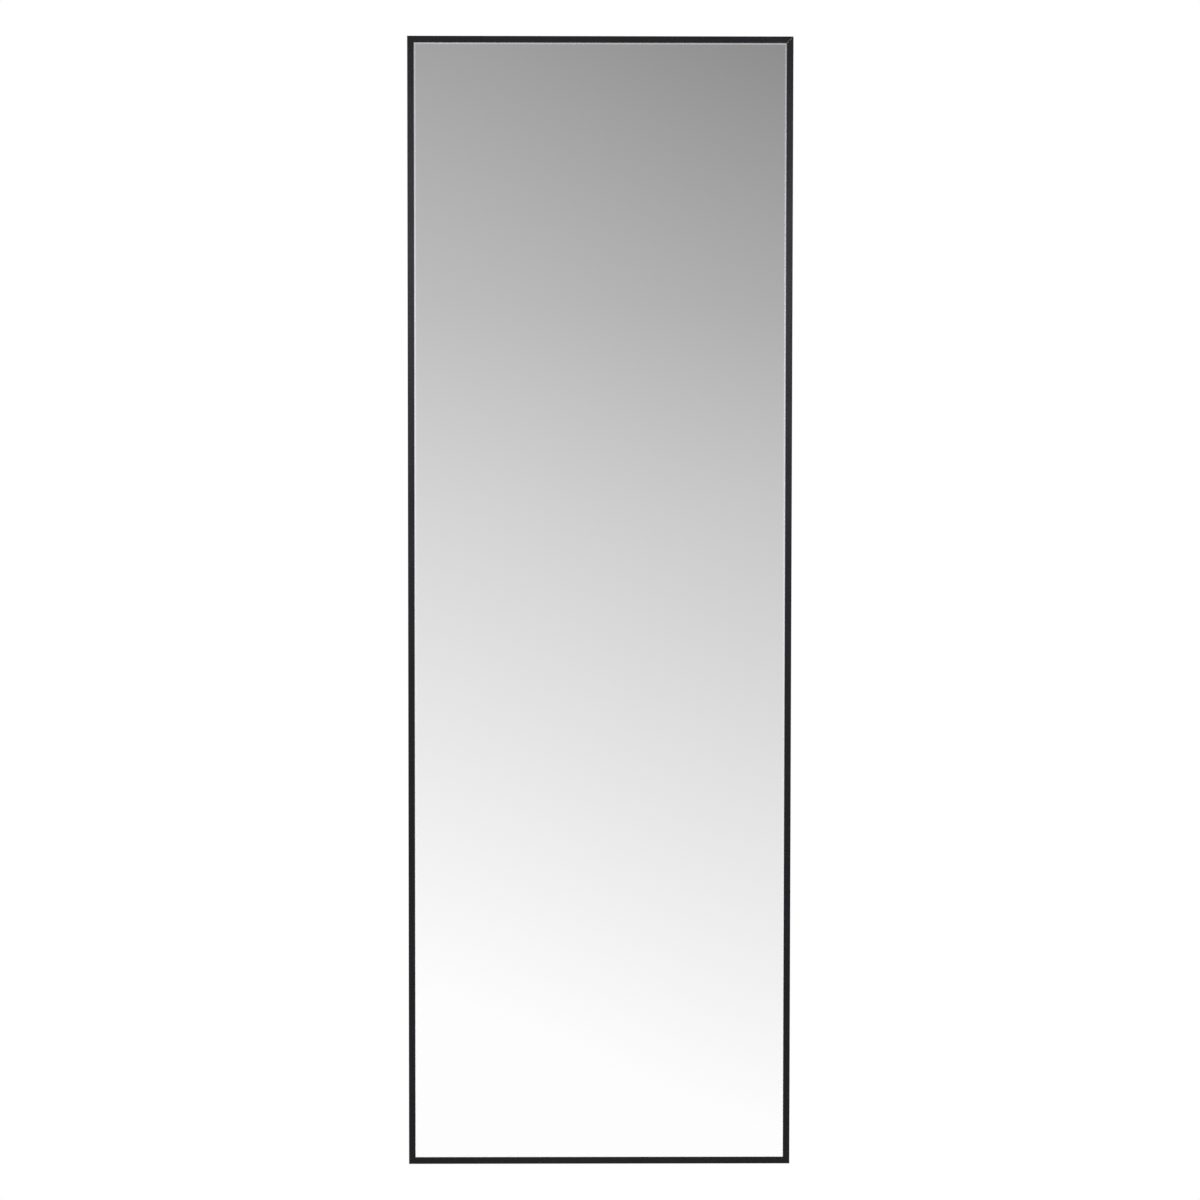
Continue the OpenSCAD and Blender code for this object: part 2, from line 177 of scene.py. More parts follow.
class WallMirrorStudio(PropertyGroup):
    """Camera, light and floor."""

    camera_distance: studio_setting(
        "Camera distance", "Level distance from the front of the frame to the camera",
        5.989, min=1.0, unit="LENGTH")
    camera_rise: studio_setting(
        "Camera rise", "Height of the camera above the middle of the frame",
        0.3642, unit="LENGTH", precision=4)
    camera_left: studio_setting(
        "Camera left", "Distance of the camera to the left of the middle of the frame",
        0.077, unit="LENGTH", precision=4)
    aim_rise: studio_setting(
        "Aim rise", "Height above the middle of the frame that the camera looks at",
        0.0066, unit="LENGTH", precision=4)
    aim_right: studio_setting(
        "Aim right", "Distance to the right of the middle that the camera looks at",
        0.2 * MM, unit="LENGTH", precision=4)
    camera_roll: studio_setting(
        "Camera roll", "Turn of the camera about its line of sight",
        math.radians(0.058), unit="ROTATION", precision=4)
    lens: studio_setting("Lens", "Focal length of the camera", 123.25, min=10.0, unit="CAMERA")
    floor_drop: studio_setting(
        "Floor drop", "Distance from the foot of the mirror down to the floor",
        0.25, min=0.0, unit="LENGTH")
    room_light: studio_setting(
        "Room light", "Brightness of the soft light from all round", 0.36, min=0.0)
    front_power: studio_setting(
        "Front lamps", "Power of each of the two lamps beside the upper half of the mirror",
        7.6, min=0.0, unit="POWER")
    low_power: studio_setting(
        "Low lamp", "Power of the lamp before the foot of the mirror",
        1.368, min=0.0, unit="POWER")
    rear_power: studio_setting(
        "Rear lamp", "Power of the lamp behind the mirror", 130.0, min=0.0, unit="POWER")


# Modelling helpers


def only(piece):
    """Deselects everything and makes piece the one that operators act on."""
    bpy.ops.object.select_all(action="DESELECT")
    piece.select_set(True)
    bpy.context.view_layer.objects.active = piece


def start_edit(kind="FACE"):
    """Opens edit mode on the active piece with nothing selected."""
    bpy.ops.object.mode_set(mode="EDIT")
    bpy.ops.mesh.select_mode(type=kind)
    bpy.ops.mesh.select_all(action="DESELECT")


def edit_whole():
    """Opens edit mode on the active piece with all of it selected."""
    start_edit()
    bpy.ops.mesh.select_all(action="SELECT")


def end_edit():
    """Goes back from edit mode to object mode."""
    bpy.ops.object.mode_set(mode="OBJECT")


def pick_faces(piece, wanted):
    """Opens edit mode with the faces selected that pass a test."""
    start_edit()
    end_edit()
    for face in piece.data.polygons:
        face.select = wanted(face)
    bpy.ops.object.mode_set(mode="EDIT")


def pick_edges(piece, wanted):
    """Opens edit mode with the edges selected whose two ends pass a test."""
    start_edit("EDGE")
    end_edit()
    points = piece.data.vertices
    for edge in piece.data.edges:
        edge.select = wanted(*(points[i].co for i in edge.vertices))
    bpy.ops.object.mode_set(mode="EDIT")


def bevel_edges(piece, wanted, **shape):
    """Bevels the edges whose two ends pass a test."""
    pick_edges(piece, wanted)
    bpy.ops.mesh.bevel(affect="EDGES", **shape)
    end_edit()


def new_piece(name, size=(1.0, 1.0, 1.0)):
    """Names and sizes the primitive that was just added, and puts its place into its mesh."""
    piece = bpy.context.object
    piece.name = name
    piece.data.name = name
    piece.scale = size
    only(piece)
    bpy.ops.object.transform_apply()
    return piece


def block(name, low, high):
    """A box between two corners."""
    bpy.ops.mesh.primitive_cube_add(size=1, location=(low + high) / 2)
    return new_piece(name, high - low)


def merged_copy(node, name):
    """A copy of a CAD node with its loose triangles merged into whole faces."""
    piece = bpy.data.objects.new(name, frame["nodes"][node].data.copy())
    bpy.context.scene.collection.objects.link(piece)
    only(piece)
    bpy.ops.mesh.customdata_custom_splitnormals_clear()
    edit_whole()
    bpy.ops.mesh.remove_doubles(threshold=MERGE)
    bpy.ops.mesh.dissolve_limited(angle_limit=FLAT)
    end_edit()
    return piece


def solids_of(node):
    """The low and high corner of each separate solid of a CAD node."""
    merged_copy(node, "scratch_" + node)
    edit_whole()
    bpy.ops.mesh.separate(type="LOOSE")
    end_edit()
    boxes = []
    for part in list(bpy.context.selected_objects):
        by_axis = list(zip(*(vertex.co for vertex in part.data.vertices)))
        boxes.append((Vector([min(axis) for axis in by_axis]),
                      Vector([max(axis) for axis in by_axis])))
        bpy.data.objects.remove(part)
    return sorted(boxes, key=lambda box: tuple(box[0]))


def apply_modifier(piece, kind, **settings):
    """Adds a modifier to a piece and applies it."""
    modifier = piece.modifiers.new(kind.title(), kind)
    for name, value in settings.items():
        setattr(modifier, name, value)
    only(piece)
    bpy.ops.object.modifier_apply(modifier=modifier.name)


def round_edges(piece, width, over=30):
    """Rounds the edges that bend by more than so many degrees, and keeps flat faces flat."""
    apply_modifier(piece, "BEVEL", width=width, segments=2, limit_method="ANGLE",
                   angle_limit=math.radians(over), miter_outer="MITER_ARC")
    shade_smooth(piece)
    apply_modifier(piece, "WEIGHTED_NORMAL", keep_sharp=True)


def shade_smooth(piece):
    """Shades a piece smooth, apart from its sharp edges."""
    only(piece)
    bpy.ops.object.shade_smooth_by_angle(angle=SMOOTH)


def extrude(x=0.0, y=0.0, z=0.0):
    """Draws the selected face out along one or more axes."""
    bpy.ops.mesh.extrude_region_move(TRANSFORM_OT_translate={"value": (x, y, z)})


def sweep(steps, angle, centre, axis):
    """Draws the selected face out round an axis, by a right-handed angle."""
    bpy.ops.mesh.spin(steps=steps, angle=-angle, center=centre, axis=axis)


def cut_away(piece, cutter):
    """Cuts one piece out of another and removes the cutter."""
    apply_modifier(piece, "BOOLEAN", operation="DIFFERENCE", solver="EXACT", object=cutter)
    bpy.data.objects.remove(cutter)


def draw_edge(piece, point, normal):
    """Draws an edge round a piece where a plane meets it."""
    only(piece)
    edit_whole()
    bpy.ops.mesh.bisect(plane_co=point, plane_no=normal)
    end_edit()


def face_outwards(piece):
    """Merges doubles and turns every face outwards."""
    only(piece)
    edit_whole()
    bpy.ops.mesh.remove_doubles(threshold=MERGE)
    bpy.ops.mesh.normals_make_consistent()
    end_edit()


def copies(model, name, places):
    """Copies of a modelled piece at each place, each with its own mesh, joined under one name."""
    made = []
    for place in places:
        copy = model.copy()
        copy.data = model.data.copy()
        copy.data.transform(place)
        bpy.context.scene.collection.objects.link(copy)
        made.append(copy)
    only(made[0])
    for copy in made[1:]:
        copy.select_set(True)
    if len(made) > 1:
        bpy.ops.object.join()
    made[0].name = name
    made[0].data.name = name
    return made[0]


def dress(piece, *finishes):
    """Gives a piece its materials, in the order of its face groups."""
    piece.data.materials.clear()
    for material in finishes:
        piece.data.materials.append(material)


def settle(piece, slot, node, *finishes, body="frame"):
    """Dresses a piece, hangs it on the empty of what it rides on and hides the node it replaces.
    The slot is not used.
    """
    dress(piece, *finishes)
    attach(piece, body)
    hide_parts(node)


def finished_copy(node, name, edge, slot, maker):
    """Puts a copy of a CAD node, with rounded edges and a finish, in the node's place."""
    piece = merged_copy(node, name)
    round_edges(piece, edge)
    settle(piece, slot, node, finish(maker))


# Shader helpers

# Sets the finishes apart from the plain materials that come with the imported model
FINISH_PREFIX = "finished_"
WHITE = (1.0, 1.0, 1.0, 1.0)


def add(tree, kind, inputs=None, **settings):
    """A shader node with its settings, its inputs set to values or linked to other outputs."""
    node = tree.nodes.new("ShaderNode" + kind)
    for name, value in settings.items():
        setattr(node, name, value)
    for socket, value in (inputs or {}).items():
        if isinstance(value, NodeSocket):
            tree.links.new(value, node.inputs[socket])
        else:
            node.inputs[socket].default_value = value
    return node


def surface(shader, colour, metallic=0.0, roughness=0.5, specular=0.5):
    """Sets the values of a surface that are the same all over."""
    shader.inputs["Base Color"].default_value = (*colour, 1.0)
    shader.inputs["Metallic"].default_value = metallic
    shader.inputs["Roughness"].default_value = roughness
    shader.inputs["Specular IOR Level"].default_value = specular


def object_place(tree):
    """The point on the piece that is shaded."""
    return add(tree, "TexCoord").outputs["Object"]


def grain(tree, cells, detail=4.0, harsh=0.5, turn=0.0):
    """Noise with so many cells to a metre, the same on all axes or one each, turned about Y."""
    counts = cells if isinstance(cells, tuple) else (cells, cells, cells)
    mapped = add(tree, "Mapping",
                 {"Vector": object_place(tree), "Rotation": (0.0, turn, 0.0),
                  "Scale": [1.0 / count for count in counts]}, vector_type="TEXTURE")
    noise = add(tree, "TexNoise",
                {"Vector": mapped.outputs["Vector"], "Scale": 1.0, "Detail": detail,
                 "Roughness": harsh})
    return noise.outputs["Fac"]


def lines(tree, along, few, many):
    """Noise drawn out in lines along X or Z, with few cells to a metre that way and many across."""
    cells = (few, many, many) if along == "X" else (many, many, few)
    return grain(tree, cells, detail=3.0)


def spread(tree, factor, low, high, start=0.35, end=0.65):
    """Brings a factor from between start and end to between low and high."""
    return add(tree, "MapRange",
               {"Value": factor, "From Min": start, "From Max": end, "To Min": low,
                "To Max": high}).outputs["Result"]


def reckon(tree, operation, *values):
    """The result of one math node."""
    return add(tree, "Math", dict(enumerate(values)), operation=operation).outputs[0]


def fibres(tree, cells, turn, width=0.035):
    """Thin wandering lines, 1 on a line and 0 away from it, drawn out where the cells are few."""
    noise = grain(tree, cells, detail=2.0, turn=turn)
    off_line = reckon(tree, "ABSOLUTE", reckon(tree, "SUBTRACT", noise, 0.5))
    return spread(tree, off_line, 1.0, 0.0, 0.0, width)


def mix_colours(tree, factor, first, second):
    """Two colours, or colour outputs, mixed by a factor."""
    pair = [c if isinstance(c, NodeSocket) else (*c, 1.0) for c in (first, second)]
    node = add(tree, "Mix", {0: factor, 6: pair[0], 7: pair[1]}, data_type="RGBA")
    return node.outputs[2]


def mix_shaders(tree, factor, first, second):
    """The first shader where the factor is 0, and the second where it is 1."""
    inputs = {0: factor, 1: first.outputs[0], 2: second.outputs[0]}
    return add(tree, "MixShader", inputs)


def tint(tree, shader, pattern, first, second, start=0.35, end=0.65):
    """Colours a surface from a first to a second colour, as a pattern goes from start to end."""
    colour = mix_colours(tree, spread(tree, pattern, 0.0, 1.0, start, end), first, second)
    tree.links.new(colour, shader.inputs["Base Color"])


def roughen(tree, shader, pattern, low, high):
    """Varies the roughness of a surface by a pattern."""
    tree.links.new(spread(tree, pattern, low, high), shader.inputs["Roughness"])


def emboss(tree, shader, height, distance):
    """Bump of so many metres from a height between 0 and 1."""
    bump = add(tree, "Bump", {"Height": height, "Distance": distance})
    tree.links.new(bump.outputs["Normal"], shader.inputs["Normal"])


def chosen(name):
    """A colour from the settings."""
    return tuple(getattr(bpy.context.scene.wall_mirror_colours, name))


def shade(colour, *factors):
    """A colour made lighter or darker, by one factor or by one for each of its parts."""
    if len(factors) == 1:
        factors *= 3
    return tuple(min(part * factor, 1.0) for part, factor in zip(colour, factors))


# Finishes


def black_aluminium(tree, shader, along):
    """Satin black coat, with the faint drawing lines of an extrusion along its length."""
    black = chosen("black")
    surface(shader, black, specular=0.1)
    drawn = lines(tree, along, 10.0, 2600.0)
    cloud = grain(tree, 14.0, detail=3.0)
    fine = grain(tree, 3200.0, detail=2.0)
    drawn_tone = spread(tree, drawn, 0.88, 1.12)
    tone = reckon(tree, "MULTIPLY", drawn_tone, spread(tree, cloud, 0.92, 1.08))
    tint(tree, shader, tone, shade(black, 0.75), shade(black, 1.25), 0.75, 1.25)
    roughen(tree, shader, drawn, 0.3, 0.4)
    pores = reckon(tree, "MULTIPLY", fine, 0.6)
    height = reckon(tree, "ADD", pores, reckon(tree, "MULTIPLY", drawn, 0.4))
    emboss(tree, shader, height, 0.004 * MM)


def bare_aluminium(tree, shader):
    """Sawn metal at the mitres."""
    surface(shader, (0.6, 0.6, 0.62), metallic=1.0, roughness=0.4)
    saw = grain(tree, (3000.0, 60.0, 3000.0), detail=2.0)
    tint(tree, shader, saw, (0.5, 0.5, 0.52), (0.68, 0.68, 0.7))


def silvering(tree, shader):
    """The silvered front of the pane."""
    silver = chosen("silver")
    surface(shader, silver, metallic=1.0, roughness=0.012)
    tint(tree, shader, grain(tree, 3.0, detail=2.0), shade(silver, 0.996), silver)


def hazed_silvering(tree, shader):
    """A painted highlight: a narrow pale line on the pane along the lips of the frame, painted
    lighter than the silvering.
    """
    silver = chosen("silver")
    surface(shader, silver, metallic=0.84, roughness=0.05)
    tint(tree, shader, grain(tree, 40.0, detail=2.0), shade(silver, 1.03), shade(silver, 1.05))


def ground_glass(tree, shader):
    """The ground edges of the pane."""
    surface(shader, (0.30, 0.45, 0.40), roughness=0.45)
    grit = grain(tree, 1500.0, detail=3.0)
    tint(tree, shader, grit, (0.24, 0.38, 0.33), (0.36, 0.52, 0.46))
    emboss(tree, shader, grit, 0.03 * MM)


def back_paint(tree, shader):
    """The paint that seals the silvering on the back of the pane."""
    surface(shader, (0.20, 0.22, 0.24), roughness=0.5)
    brushed = grain(tree, (60.0, 400.0, 12.0))
    tint(tree, shader, brushed, (0.17, 0.19, 0.205), (0.23, 0.25, 0.27))


def safety_film(tree, shader):
    """Milky film on the back of the pane, with a fine pressed grain."""
    surface(shader, (0.60, 0.63, 0.66), roughness=0.32)
    tint(tree, shader, grain(tree, 25.0, detail=3.0), (0.56, 0.59, 0.62), (0.64, 0.67, 0.7))
    emboss(tree, shader, grain(tree, 1200.0, detail=1.0), 0.02 * MM)


def hardboard(tree, shader):
    """Pressed brown fibre: clouded, with pale fibres that cross each other and dark flecks."""
    brown = chosen("hardboard")
    surface(shader, brown, roughness=0.68, specular=0.3)
    cloud = grain(tree, (6.0, 6.0, 4.0), detail=6.0, harsh=0.62)
    mottle = grain(tree, (95.0, 95.0, 70.0), detail=5.0, harsh=0.65)
    pale = 0.0
    for turn in (0.2, 0.9, 1.6, 2.6):
        pale = reckon(tree, "MAXIMUM", pale, fibres(tree, (1000.0, 600.0, 140.0), turn))
    fleck = grain(tree, (420.0, 420.0, 300.0), detail=3.0, harsh=0.55)
    clouded = mix_colours(tree, spread(tree, cloud, 0.0, 1.0, 0.38, 0.62),
                          shade(brown, 0.74), shade(brown, 1.14))
    mottled = mix_colours(tree, spread(tree, mottle, 0.0, 0.45), clouded, shade(brown, 0.55))
    streaked = mix_colours(tree, reckon(tree, "MULTIPLY", pale, 0.42), mottled, shade(brown, 2.0))
    flecked = mix_colours(tree, spread(tree, fleck, 0.0, 0.75, 0.61, 0.68), streaked,
                          shade(brown, 0.28))
    tree.links.new(flecked, shader.inputs["Base Color"])
    roughen(tree, shader, mottle, 0.58, 0.8)
    height = reckon(tree, "ADD", reckon(tree, "MULTIPLY", pale, 0.3), mottle)
    emboss(tree, shader, height, 0.09 * MM)


def clear_plastic(tree, shader):
    """Setting blocks."""
    surface(shader, (0.72, 0.74, 0.71), roughness=0.35)
    tint(tree, shader, grain(tree, 300.0, detail=2.0), (0.68, 0.7, 0.67), (0.76, 0.78, 0.75))


def zinc_plate(tree, shader):
    """Bluish zinc over cast or rolled steel, with faint clouds of its passivation."""
    zinc = chosen("zinc")
    surface(shader, zinc, metallic=1.0, roughness=0.34)
    cloud = grain(tree, 130.0)
    hue = grain(tree, 55.0, detail=2.0)
    tinted = mix_colours(tree, spread(tree, hue, 0.0, 1.0, 0.4, 0.6),
                         shade(zinc, 0.94, 0.97, 1.04), shade(zinc, 1.06, 1.03, 0.93))
    clouded = mix_colours(tree, spread(tree, cloud, 0.0, 0.35), tinted, shade(zinc, 0.7))
    tree.links.new(clouded, shader.inputs["Base Color"])
    roughen(tree, shader, cloud, 0.28, 0.42)
    emboss(tree, shader, grain(tree, 2200.0, detail=3.0), 0.012 * MM)


def spring_steel(tree, shader, along):
    """Blued strip with the fine lines of its rolling."""
    steel = chosen("spring")
    surface(shader, steel, metallic=1.0, roughness=0.3)
    rolled = lines(tree, along, 60.0, 2400.0)
    heat = grain(tree, 45.0, detail=2.0)
    tint(tree, shader, heat, shade(steel, 0.85), shade(steel, 1.12, 1.08, 1.0))
    roughen(tree, shader, rolled, 0.24, 0.38)
    emboss(tree, shader, rolled, 0.004 * MM)


def nickel_plate(tree, shader):
    """Bright nickel over pressed steel, with fine rubbing marks."""
    nickel = chosen("nickel")
    surface(shader, nickel, metallic=1.0, roughness=0.2)
    rubbed = grain(tree, (1600.0, 900.0, 500.0), detail=3.0)
    tint(tree, shader, grain(tree, 160.0, detail=3.0), shade(nickel, 0.9), shade(nickel, 1.06))
    roughen(tree, shader, rubbed, 0.15, 0.27)
    emboss(tree, shader, rubbed, 0.005 * MM)


def black_rubber(tree, shader):
    """Satin rubber with a fine moulded grain."""
    rubber = chosen("rubber")
    surface(shader, rubber, roughness=0.45)
    pores = grain(tree, 2600.0, detail=3.0)
    tint(tree, shader, grain(tree, 900.0, detail=3.0), shade(rubber, 0.9), shade(rubber, 1.25))
    roughen(tree, shader, pores, 0.38, 0.52)
    emboss(tree, shader, pores, 0.012 * MM)


def finish(maker, *details):
    """The material that one of the functions above makes, made when it is first asked for."""
    name = FINISH_PREFIX + "_".join([maker.__name__, *details])
    if name not in bpy.data.materials:
        material = bpy.data.materials.new(name)
        material.use_nodes = True
        maker(material.node_tree, material.node_tree.nodes["Principled BSDF"], *details)
    return bpy.data.materials[name]


# Stage


def add_camera(studio):
    """The camera of the main view, a little above and to the left of the middle of the frame."""
    aim = Vector((MID_X + studio.aim_right, FRONT_Y, MID_Z + studio.aim_rise))
    place = Vector((MID_X - studio.camera_left, FRONT_Y - studio.camera_distance,
                    MID_Z + studio.camera_rise))
    data = bpy.data.cameras.new("camera")
    data.lens = studio.lens
    camera = bpy.data.objects.new("camera", data)
    camera.location = place
    camera.rotation_euler = (aim - place).to_track_quat("-Z", "Y").to_euler()
    camera.rotation_euler.rotate_axis("Z", studio.camera_roll)
    bpy.context.scene.collection.objects.link(camera)
    bpy.context.scene.camera = camera


def mirrored_light(tree, studio):
    """What glass and metal show: dark above and bright below the camera, and grey far up and down.

    Rises and distances to the side are in shares of the depth, so a rise of 1 is 45 degrees. Those
    to the side start from the middle of the frame as the camera sees it.
    """
    least_depth = 0.02
    reach = 0.2
    tones_by_rise = {-0.2: 1.054, -0.157: 0.939, -0.036: 0.615, 0.0125: 0.464, 0.074: 0.32,
                     0.10: 0.27, 0.15: 0.235, 0.2: 0.21}
    side_reach, side_slope = 0.08, -1.2
    brightest = 0.985
    overhead_rise, overhead_tone = 0.5, 0.4
    dims_from, underfoot_rise, underfoot_share = -0.21, -0.55, 0.5
    direction = add(tree, "TexCoord").outputs["Generated"]
    axes = add(tree, "SeparateXYZ", {0: direction})
    depth = reckon(tree, "MAXIMUM", reckon(tree, "ABSOLUTE", axes.outputs["Y"]), least_depth)
    rise = reckon(tree, "DIVIDE", axes.outputs["Z"], depth)
    slant = reckon(tree, "DIVIDE", axes.outputs["X"], depth)
    across = reckon(tree, "SUBTRACT", slant, studio.camera_left / studio.camera_distance)
    ramp = add(tree, "ValToRGB")
    tree.links.new(spread(tree, rise, 0.0, 1.0, -reach, reach), ramp.inputs[0])
    stops = ramp.color_ramp.elements
    while len(stops) < len(tones_by_rise):
        stops.new(0.5)
    for stop, (at, tone) in zip(stops, tones_by_rise.items()):
        stop.position = (at + reach) / (2 * reach)
        stop.color = (tone, tone, tone, 1.0)
    ratio = reckon(tree, "DIVIDE", across, side_reach)
    eased = reckon(tree, "SQRT", reckon(tree, "ADD", reckon(tree, "MULTIPLY", ratio, ratio), 1.0))
    side = reckon(tree, "MULTIPLY", reckon(tree, "DIVIDE", across, eased), side_slope)
    tone = reckon(tree, "MINIMUM", reckon(tree, "ADD", ramp.outputs["Color"], side), brightest)
    overhead = spread(tree, rise, 0.0, overhead_tone, reach, overhead_rise)
    underfoot = spread(tree, rise, underfoot_share, 1.0, underfoot_rise, dims_from)
    shown = reckon(tree, "ADD", reckon(tree, "MULTIPLY", tone, underfoot), overhead)
    return reckon(tree, "DIVIDE", shown, chosen("silver")[0])


def sharp_ray(tree, ray):
    """1 for a ray that metal or glass sends on, and 0 for any other."""
    return reckon(tree, "MAXIMUM", ray.outputs["Is Glossy Ray"], ray.outputs["Is Transmission Ray"])


def add_world(studio):
    """White to the camera, soft even light on surfaces, and a calm gradient in glass and metal."""
    world = bpy.data.worlds.new("studio")
    world.use_nodes = True
    bpy.context.scene.world = world
    tree = world.node_tree
    tree.nodes.clear()
    ray = add(tree, "LightPath")
    room = add(tree, "Background", {0: WHITE, 1: studio.room_light})
    shown = add(tree, "Background", {0: mirrored_light(tree, studio)})
    white = add(tree, "Background", {0: WHITE, 1: 1.0})
    lit = mix_shaders(tree, sharp_ray(tree, ray), room, shown)
    seen = mix_shaders(tree, ray.outputs["Is Camera Ray"], lit, white)
    add(tree, "OutputWorld", {0: seen.outputs[0]})


def add_floor(studio):
    """A pale floor that keeps the shadow, runs out into white and is clear from below."""
    floor_size = 16.0
    pale = (0.86, 0.86, 0.86, 1.0)
    lift_strength = 0.16
    whitens_from, white_from = 0.55, 0.9
    middle = (MID_X, 0.0, CAD_LOW.z - studio.floor_drop)
    bpy.ops.mesh.primitive_plane_add(size=floor_size, location=middle)
    floor = new_piece("floor")
    material = bpy.data.materials.new("pale_floor")
    material.use_nodes = True
    tree = material.node_tree
    tree.nodes.clear()
    ray = add(tree, "LightPath")
    matt = add(tree, "BsdfDiffuse", {0: pale})
    lift = add(tree, "Emission", {0: WHITE, 1: lift_strength})
    lifted = add(tree, "AddShader", {0: matt.outputs[0], 1: lift.outputs[0]})
    white = add(tree, "Emission", {0: WHITE, 1: 1.0})
    clear = add(tree, "BsdfTransparent")
    place = {0: object_place(tree), 1: middle}
    from_middle = add(tree, "VectorMath", place, operation="SUBTRACT").outputs[0]
    away = add(tree, "VectorMath", {0: from_middle}, operation="LENGTH")
    whiteness = spread(tree, away.outputs["Value"], 0.0, 1.0, whitens_from, white_from)
    near_and_far = mix_shaders(tree, whiteness, lifted, white)
    seen = mix_shaders(tree, ray.outputs["Is Camera Ray"], matt, near_and_far)
    from_below = add(tree, "NewGeometry").outputs["Backfacing"]
    unseen = reckon(tree, "MAXIMUM", sharp_ray(tree, ray), from_below)
    whole = mix_shaders(tree, unseen, seen, clear)
    add(tree, "OutputMaterial", {0: whole.outputs[0]})
    dress(floor, material)


def add_lamp(name, place, size, power):
    """A soft square lamp aimed at the middle of the frame, unseen in glass and metal."""
    data = bpy.data.lights.new(name, "AREA")
    data.shape = "SQUARE"
    data.size = size
    data.energy = power
    lamp = bpy.data.objects.new(name, data)
    lamp.location = place
    aim = Vector((MID_X, FRONT_Y, MID_Z)) - Vector(place)
    lamp.rotation_euler = aim.to_track_quat("-Z", "Y").to_euler()
    lamp.visible_glossy = False
    lamp.visible_camera = False
    bpy.context.scene.collection.objects.link(lamp)


class WALLMIRROR_OT_stage(Operator):
    """Set up the camera, the soft light and the pale floor"""

    bl_idname = "wall_mirror.stage"
    bl_label = "Stage"

    def execute(self, context):
        studio = context.scene.wall_mirror_studio
        context.scene.view_settings.view_transform = "Standard"
        add_camera(studio)
        add_world(studio)
        add_floor(studio)
        near_size, rear_size = 0.5, 2.4
        out, before, low_before, rise = HALF_W + 0.26, 0.4, 0.6, 0.64 * HALF_H
        for name, side in {"left_lamp": -1, "right_lamp": 1}.items():
            place = (MID_X + side * out, FRONT_Y - before, MID_Z + rise)
            add_lamp(name, place, near_size, studio.front_power)
        rear_place = (1.6, 3.0, 2.6)
        add_lamp("rear_lamp", rear_place, rear_size, studio.rear_power)
        low_place = (MID_X, FRONT_Y - low_before, MID_Z - HALF_H)
        add_lamp("low_lamp", low_place, near_size, studio.low_power)
        return {"FINISHED"}


# Pieces

# The two lengths that meet at the mitre with the widest bare line, and the way from it into each
FROM_BRIGHT_MITRE = {
    "top_rail": Vector((-1.0, 0.0, 1.0)).normalized(),
    "right_stile": Vector((1.0, 0.0, -1.0)).normalized(),
}
# The bare metal's edge line is drawn at this share of its reach, so that its corners are bare too
LINE_SHARE = 0.95


def from_mitre(point):
    """Distance of a point from the plane of the nearest mitre."""
    from_side = HALF_W - abs(point.x - MID_X)
    from_end = HALF_H - abs(point.z - MID_Z)
    return abs(from_side - from_end) / math.sqrt(2)


class WALLMIRROR_OT_frame_lengths(Operator):
    """Make the four mitred lengths of the frame, with rounded edges and bare metal at the mitres"""

    bl_idname = "wall_mirror.frame_lengths"
    bl_label = "Frame Lengths"

    def execute(self, context):
        sizes = context.scene.wall_mirror_sizes
        top_right = Vector((MID_X + HALF_W, 0.0, MID_Z + HALF_H))
        for node, along in LENGTHS.items():
            piece = merged_copy(node, node + "_section")
            if node in FROM_BRIGHT_MITRE:
                inwards = FROM_BRIGHT_MITRE[node]
                draw_edge(piece, top_right + inwards * LINE_SHARE * sizes.mitre_bright, inwards)
            round_edges(piece, sizes.edge_round)
            settle(piece, "black_aluminium", node,
                   finish(black_aluminium, along), finish(bare_aluminium))
            coated, bare = range(2)
            for face in piece.data.polygons:
                corners = [piece.data.vertices[i].co for i in face.vertices]
                reach = max(from_mitre(point) for point in (face.center, *corners))
                at_top_right = face.center.x > MID_X and face.center.z > MID_Z
                limit = sizes.mitre_bright if at_top_right else sizes.mitre_faint
                face.material_index = bare if reach < limit else coated
        return {"FINISHED"}


class WALLMIRROR_OT_mirror_pane(Operator):
    """Make the pane of silvered glass with its ground edges, painted back and a painted highlight
    along the lips
    """

    bl_idname = "wall_mirror.mirror_pane"
    bl_label = "Mirror Pane"

    def execute(self, context):
        sizes = context.scene.wall_mirror_sizes
        low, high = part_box("mirror_glass")
        pane = block("mirror_pane", low, high)
        bevel_edges(pane, lambda a, b: abs(a.y - b.y) < MERGE,
                    offset=sizes.glass_arris, offset_type="WIDTH")
        front_half_w = max(v.co.x for v in pane.data.vertices if v.co.y < low.y + MERGE) - MID_X
        sight_half_w = HALF_W - sizes.face_width
        pick_faces(pane, lambda face: face.normal.y < -FACING)
        bpy.ops.mesh.inset(thickness=front_half_w - sight_half_w)
        # A band along the lips that carries the painted highlight
        bpy.ops.mesh.inset(thickness=sizes.haze_width)
        end_edit()
        settle(pane, "silvered_glass", "mirror_glass", finish(silvering),
               finish(ground_glass), finish(back_paint), finish(hazed_silvering))
        # The last finish is the painted highlight on the band along the lips
        silvered, ground, painted, highlight_band = range(4)
        clear_half_w = sight_half_w - sizes.haze_width
        clear_half_h = clear_half_w + HALF_H - HALF_W
        for face in pane.data.polygons:
            from_side = abs(face.center.x - MID_X)
            from_end = abs(face.center.z - MID_Z)
            is_clear = from_side < clear_half_w and from_end < clear_half_h
            if face.normal.y < -FACING:
                face.material_index = silvered if is_clear else highlight_band
            elif face.normal.y > FACING:
                face.material_index = painted
            else:
                face.material_index = ground
        return {"FINISHED"}


class WALLMIRROR_OT_backing(Operator):
    """Finish the safety film, the backing board and the setting blocks"""

    bl_idname = "wall_mirror.backing"
    bl_label = "Film, Board and Blocks"

    def execute(self, context):
        sizes = context.scene.wall_mirror_sizes
        film = frame["nodes"]["safety_film"]
        film.material_slots[0].material = finish(safety_film)
        finished_copy("backing_board", "hardboard_back", sizes.sheet_edge, "hardboard", hardboard)
        finished_copy("setting_blocks", "setting_block_pair", sizes.block_edge,
                      "clear_plastic", clear_plastic)
        return {"FINISHED"}


